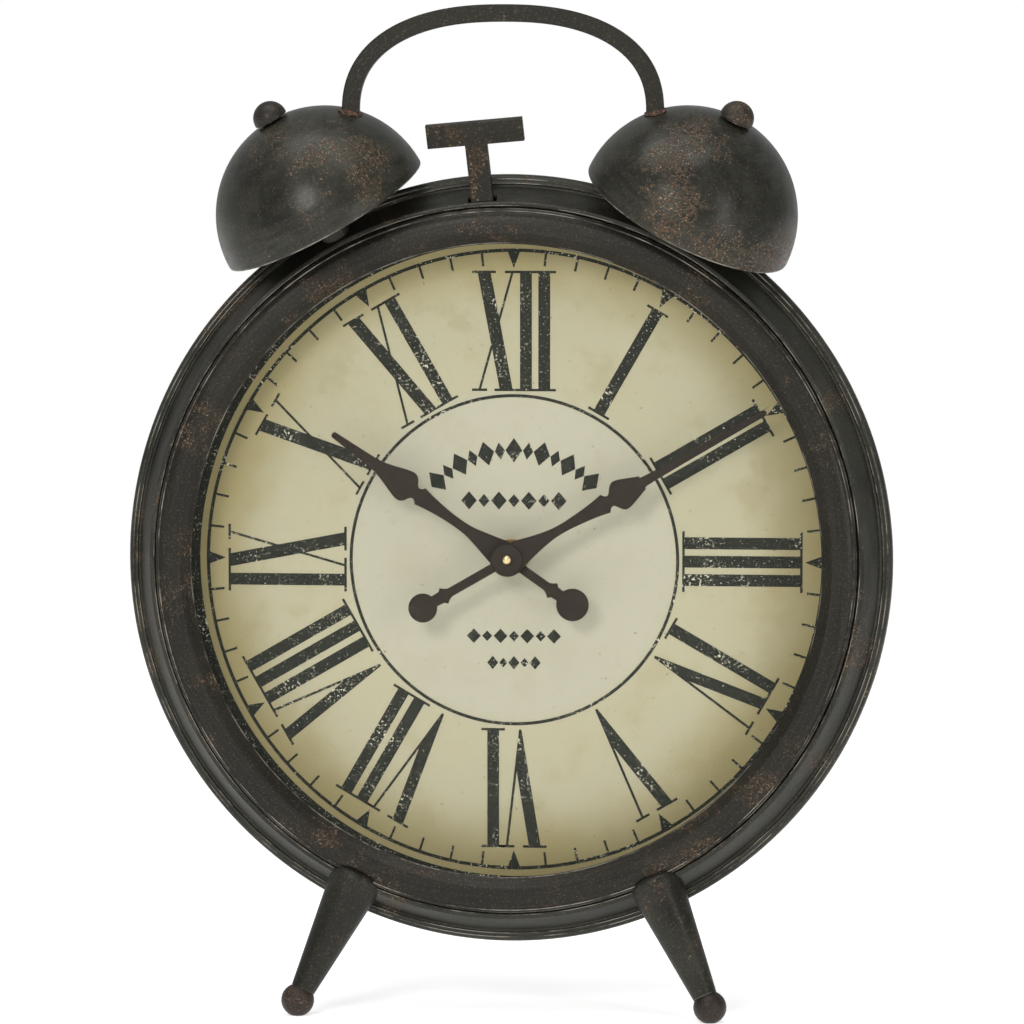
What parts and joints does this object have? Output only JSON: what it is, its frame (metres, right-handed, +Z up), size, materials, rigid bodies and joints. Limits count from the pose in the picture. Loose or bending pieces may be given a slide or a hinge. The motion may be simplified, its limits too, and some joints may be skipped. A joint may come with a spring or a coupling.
{
  "type": "alarm clock",
  "caption": "Large round twin-bell alarm clock with a Roman dial, spade hands, carrying handle, rocking striker and ball-footed legs, driven by a battery movement.",
  "frame": {"origin": "on the ground plane under the middle of the clock's width and depth", "axes": "+Z up, the dial faces -Y, +X to the right of someone looking at the dial"},
  "size_m": [0.386, 0.1225, 0.5065],
  "materials": {
    "aged_steel": "aged gunmetal lacquer, rubbed and rust speckled",
    "dark_steel": "dark brown-black painted steel",
    "paper": "aged cream printed paper on board",
    "glass": "clear flat glass",
    "rubber": "soft black rubber",
    "brass": "plain brass",
    "zinc": "zinc plated steel",
    "black_plastic": "black moulded plastic",
    "white_plastic": "natural acetal",
    "copper": "enamelled copper winding",
    "green_board": "circuit board laminate",
    "battery_jacket": "dry cell jacket"
  },
  "bodies": {
    "case": {"bezel": "aged_steel", "case_ring": "aged_steel", "case_drum": "aged_steel", "glass_lens": "glass", "glass_gasket": "rubber", "dial_spacer_ring": "dark_steel", "dial": "paper", "back_cover": "dark_steel", "hanger_plate": "zinc", "back_screw_1": "zinc", "back_screw_2": "zinc", "back_screw_3": "zinc", "back_screw_4": "zinc", "back_screw_5": "zinc", "back_screw_6": "zinc", "bell_left": "aged_steel", "bell_right": "aged_steel", "bell_post_left": "dark_steel", "bell_post_right": "dark_steel", "bell_stud_left": "zinc", "bell_stud_right": "zinc", "bell_ball_nut_left": "aged_steel", "bell_ball_nut_right": "aged_steel", "handle": "dark_steel", "hammer_bracket": "zinc", "hammer_pin": "zinc", "leg_left": "aged_steel", "leg_right": "aged_steel", "foot_ball_left": "aged_steel", "foot_ball_right": "aged_steel", "leg_screw_left": "zinc", "leg_screw_right": "zinc", "movement_case": "black_plastic", "movement_lid": "black_plastic", "movement_plate": "white_plastic", "rubber_washer": "rubber", "dial_washer": "brass", "movement_nut": "brass", "stator": "zinc", "coil": "copper", "circuit_board": "green_board", "crystal": "zinc", "battery": "battery_jacket", "battery_contact_minus": "zinc", "battery_contact_plus": "zinc"},
    "minute_hand": {"minute_hand": "dark_steel", "hand_washer": "dark_steel", "hand_nut": "brass", "minute_arbor": "brass"},
    "hour_hand": {"hour_hand": "dark_steel", "hour_wheel": "white_plastic"},
    "minute_wheel": {"minute_wheel": "white_plastic"},
    "set_knob": {"set_knob": "black_plastic"},
    "hammer": {"hammer": "dark_steel"},
    "rotor": {"rotor": "zinc"}
  },
  "joints": [
    {"name": "minute_hand_turn", "type": "hinge", "parent": "case", "child": "minute_hand", "pos_m": [0, -0.001, 0.22925], "axis": [0, 1, 0], "continuous": true},
    {"name": "hour_hand_turn", "type": "hinge", "parent": "case", "child": "hour_hand", "pos_m": [0, 0.003, 0.22925], "axis": [0, 1, 0], "continuous": true},
    {"name": "minute_wheel_turn", "type": "hinge", "parent": "case", "child": "minute_wheel", "pos_m": [0, 0.0285, 0.21725], "axis": [0, 1, 0], "continuous": true},
    {"name": "set_knob_turn", "type": "hinge", "parent": "case", "child": "set_knob", "pos_m": [0.012, 0.0435, 0.21725], "axis": [0, 1, 0], "continuous": true},
    {"name": "hammer_swing", "type": "hinge", "parent": "case", "child": "hammer", "pos_m": [-0.0105, -0.0077, 0.40093], "axis": [-0.0181, 0.9781, 0.2071], "range_deg": [-9, 9]},
    {"name": "rotor_spin", "type": "hinge", "parent": "case", "child": "rotor", "pos_m": [-0.009, 0.0351, 0.20815], "axis": [0, 1, 0], "continuous": true}
  ],
  "couplings": [
    {"joint": "hour_hand_turn", "follows": "minute_hand_turn", "ratio": 0.083333},
    {"joint": "minute_wheel_turn", "follows": "minute_hand_turn", "ratio": -0.33333},
    {"joint": "set_knob_turn", "follows": "minute_hand_turn", "ratio": 1}
  ]
}
